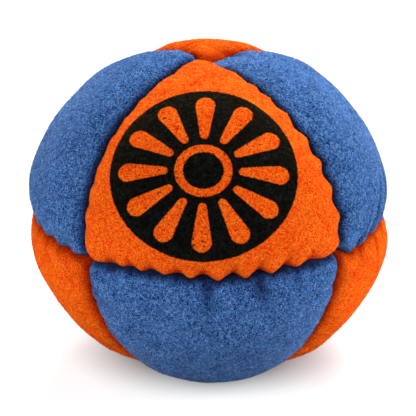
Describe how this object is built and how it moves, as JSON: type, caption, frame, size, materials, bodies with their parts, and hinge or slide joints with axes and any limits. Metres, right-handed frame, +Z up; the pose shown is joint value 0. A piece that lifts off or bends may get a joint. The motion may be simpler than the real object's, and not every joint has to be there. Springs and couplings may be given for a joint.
{
  "type": "footbag",
  "caption": "Hand-sewn pellet-filled footbag, a small soft ball of three-cornered suede panels for kicking games.",
  "frame": {"origin": "on the resting face, under the middle of the bag", "axes": "+Z up through the top corner, where four panels meet; -Y out of the middle of the front panels, the upper of which carries the print; +X to the right seen from the front"},
  "size_m": [0.0542, 0.0542, 0.0494],
  "materials": {
    "orange_suede": "napped synthetic suede",
    "blue_suede": "napped synthetic suede",
    "sewing_thread": "waxed polyester thread",
    "pellets": "plain"
  },
  "bodies": {
    "root": {"upper_front_panel": "orange_suede", "upper_right_panel": "blue_suede", "upper_back_panel": "orange_suede", "upper_left_panel": "blue_suede", "lower_front_panel": "blue_suede", "lower_right_panel": "orange_suede", "lower_back_panel": "blue_suede", "lower_left_panel": "orange_suede", "upper_front_left_thread": "sewing_thread", "upper_front_right_thread": "sewing_thread", "upper_back_right_thread": "sewing_thread", "upper_back_left_thread": "sewing_thread", "lower_front_left_thread": "sewing_thread", "lower_front_right_thread": "sewing_thread", "lower_back_right_thread": "sewing_thread", "lower_back_left_thread": "sewing_thread", "waist_front_thread": "sewing_thread", "waist_right_thread": "sewing_thread", "waist_back_thread": "sewing_thread", "waist_left_thread": "sewing_thread", "pellet_fill": "pellets"}
  },
  "joints": []
}
